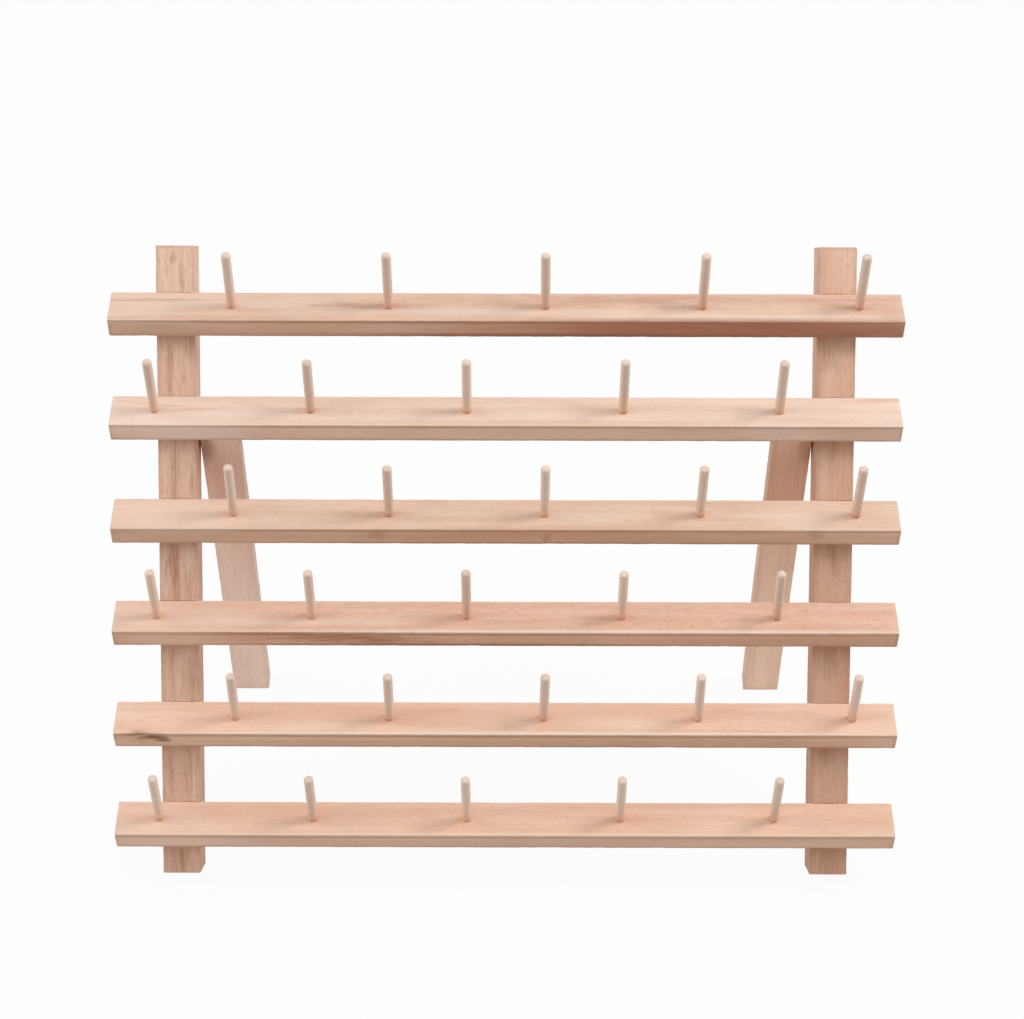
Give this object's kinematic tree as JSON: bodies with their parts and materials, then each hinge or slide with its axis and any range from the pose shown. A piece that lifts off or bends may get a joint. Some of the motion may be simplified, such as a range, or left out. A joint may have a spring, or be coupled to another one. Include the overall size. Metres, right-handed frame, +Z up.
{
  "type": "thread spool rack",
  "caption": "Wooden thread spool rack: tilted rails of staggered pegs let into notched uprights, standing like an easel on back legs that fold flat behind it.",
  "frame": {"origin": "on the table, at the middle of the space that the open rack takes up", "axes": "+X along the rails to the right seen from the front, -Y out of the front, +Z up"},
  "size_m": [0.4, 0.181, 0.3024],
  "materials": {
    "beech": "sanded, unfinished",
    "peg_wood": "sanded, unfinished",
    "screw_steel": "zinc plated"
  },
  "bodies": {
    "frame": {"upright_left": "beech", "upright_right": "beech", "rail_1": "beech", "rail_2": "beech", "rail_3": "beech", "rail_4": "beech", "rail_5": "beech", "rail_6": "beech", "peg_1_1": "peg_wood", "peg_1_2": "peg_wood", "peg_1_3": "peg_wood", "peg_1_4": "peg_wood", "peg_1_5": "peg_wood", "peg_2_1": "peg_wood", "peg_2_2": "peg_wood", "peg_2_3": "peg_wood", "peg_2_4": "peg_wood", "peg_2_5": "peg_wood", "peg_3_1": "peg_wood", "peg_3_2": "peg_wood", "peg_3_3": "peg_wood", "peg_3_4": "peg_wood", "peg_3_5": "peg_wood", "peg_4_1": "peg_wood", "peg_4_2": "peg_wood", "peg_4_3": "peg_wood", "peg_4_4": "peg_wood", "peg_4_5": "peg_wood", "peg_5_1": "peg_wood", "peg_5_2": "peg_wood", "peg_5_3": "peg_wood", "peg_5_4": "peg_wood", "peg_5_5": "peg_wood", "peg_6_1": "peg_wood", "peg_6_2": "peg_wood", "peg_6_3": "peg_wood", "peg_6_4": "peg_wood", "peg_6_5": "peg_wood", "washer_left": "screw_steel", "washer_right": "screw_steel", "pivot_screw_left": "screw_steel", "pivot_screw_right": "screw_steel", "rail_screws_left": "screw_steel", "rail_screws_right": "screw_steel"},
    "leg_left": {"leg_left": "beech"},
    "leg_right": {"leg_right": "beech"}
  },
  "joints": [
    {"name": "leg_left_fold", "type": "hinge", "parent": "frame", "child": "leg_left", "pos_m": [0, 0.03579, 0.19955], "axis": [-1, 0, 0], "range_deg": [0, 41.5]},
    {"name": "leg_right_fold", "type": "hinge", "parent": "frame", "child": "leg_right", "pos_m": [0, 0.03579, 0.19955], "axis": [-1, 0, 0], "range_deg": [0, 41.5]}
  ]
}
